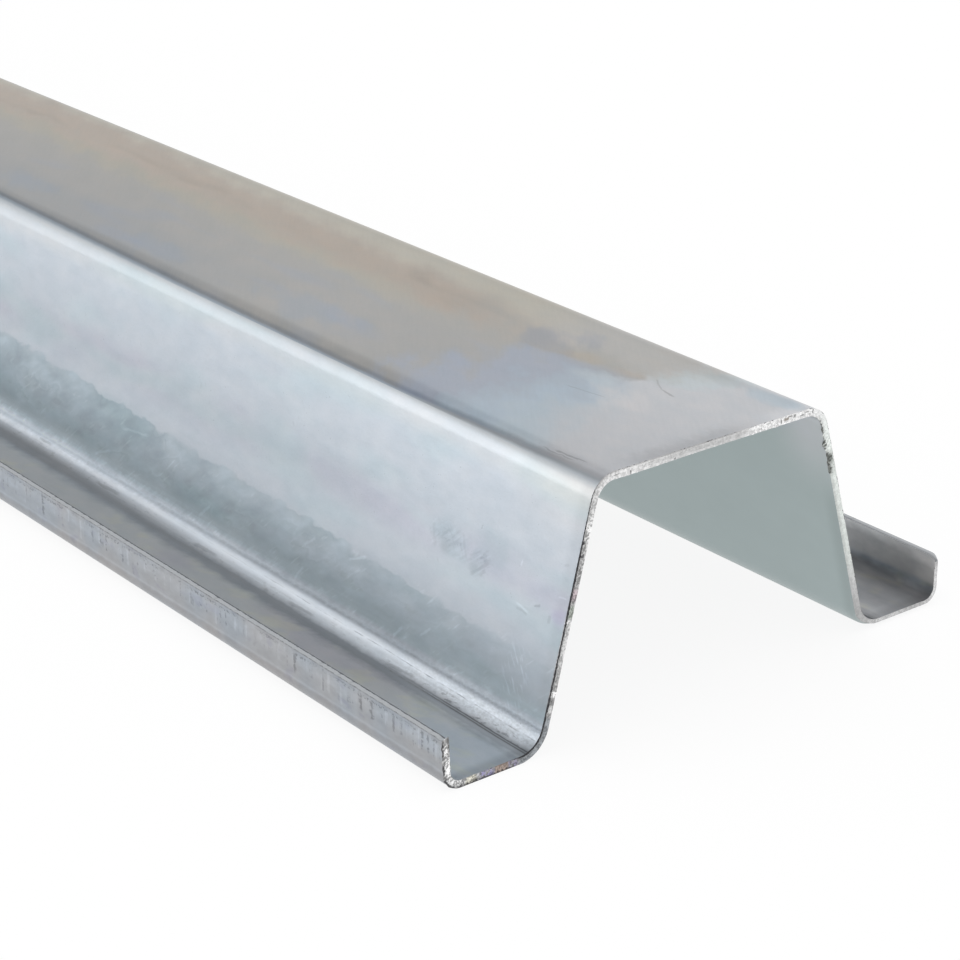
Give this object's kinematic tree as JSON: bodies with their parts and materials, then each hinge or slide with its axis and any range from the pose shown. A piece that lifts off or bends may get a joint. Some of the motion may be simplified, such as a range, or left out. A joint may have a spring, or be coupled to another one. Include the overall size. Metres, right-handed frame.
{
  "type": "omega profile",
  "caption": "Cold-formed omega profile in galvanised sheet: flat crown, two leaning webs, two flanges with upturned lips, cut square.",
  "frame": {"origin": "middle of the length, on the section's centre line, at the underside of the flanges", "axes": "+X along the profile towards the cut end that the picture shows, +Y across the section, +Z from the flanges up to the crown"},
  "size_m": [1, 0.121, 0.05],
  "materials": {
    "galvanised_sheet": "hot-dip galvanised, dull spangle with roll marks"
  },
  "bodies": {
    "root": {"omega_profile": "galvanised_sheet"}
  },
  "joints": []
}
